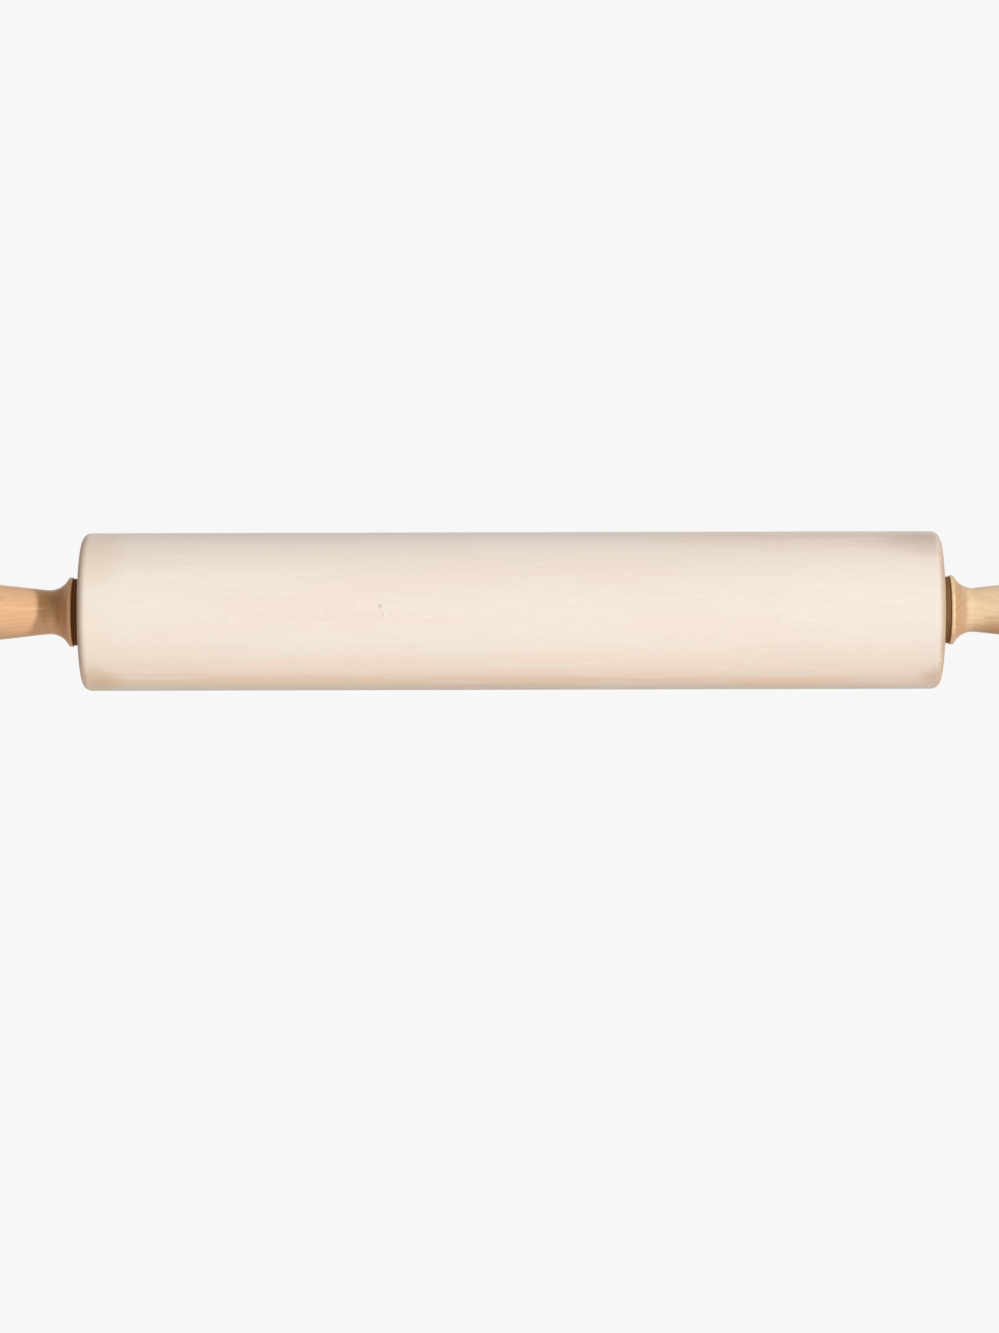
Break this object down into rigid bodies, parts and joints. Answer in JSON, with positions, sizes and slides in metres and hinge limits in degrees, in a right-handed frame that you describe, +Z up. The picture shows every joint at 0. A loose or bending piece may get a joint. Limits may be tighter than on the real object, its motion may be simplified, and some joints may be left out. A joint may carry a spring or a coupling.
{
  "type": "rolling pin",
  "caption": "Straight wooden rolling pin: a cylindrical maple barrel that turns on shielded ball bearings round a steel rod, with a turned wooden handle clamped at each end.",
  "frame": {"origin": "the middle of the barrel, on the axis of the rod", "axes": "+X along the rod towards the right-hand handle, +Z up; the barrel rests on a surface at Z = -35 mm"},
  "size_m": [0.6148, 0.07, 0.07],
  "materials": {
    "maple": "satin",
    "handle_wood": "lacquered",
    "collar_brown": "matte",
    "steel": "turned",
    "bearing_steel": "ground",
    "polished_steel": "polished",
    "shield_steel": "satin",
    "zinc_steel": "zinc plated",
    "nylon": "matte"
  },
  "bodies": {
    "handles_and_rod": {"rod": "steel", "inner_ring_left": "bearing_steel", "inner_ring_right": "bearing_steel", "spacer_left": "steel", "spacer_right": "steel", "thrust_collar_left": "collar_brown", "thrust_collar_right": "collar_brown", "handle_left": "handle_wood", "handle_right": "handle_wood", "flat_washer_left": "zinc_steel", "flat_washer_right": "zinc_steel", "split_washer_left": "zinc_steel", "split_washer_right": "zinc_steel", "nut_left": "zinc_steel", "nut_right": "zinc_steel", "end_plug_left": "handle_wood", "end_plug_right": "handle_wood"},
    "barrel": {"barrel": "maple", "outer_ring_left": "bearing_steel", "outer_ring_right": "bearing_steel", "outboard_shield_left": "shield_steel", "outboard_shield_right": "shield_steel", "inboard_shield_left": "shield_steel", "inboard_shield_right": "shield_steel"},
    "left_cage": {"ball_cage_left": "nylon", "bearing_balls_left": "polished_steel"},
    "right_cage": {"ball_cage_right": "nylon", "bearing_balls_right": "polished_steel"}
  },
  "joints": [
    {"name": "barrel_spin", "type": "hinge", "parent": "handles_and_rod", "child": "barrel", "pos_m": [0, 0, 0], "axis": [1, 0, 0], "continuous": true},
    {"name": "left_cage_spin", "type": "hinge", "parent": "handles_and_rod", "child": "left_cage", "pos_m": [-0.1845, 0, 0], "axis": [1, 0, 0], "continuous": true},
    {"name": "right_cage_spin", "type": "hinge", "parent": "handles_and_rod", "child": "right_cage", "pos_m": [0.1845, 0, 0], "axis": [1, 0, 0], "continuous": true}
  ],
  "couplings": [
    {"joint": "left_cage_spin", "follows": "barrel_spin", "ratio": 0.63222},
    {"joint": "right_cage_spin", "follows": "barrel_spin", "ratio": 0.63222}
  ]
}
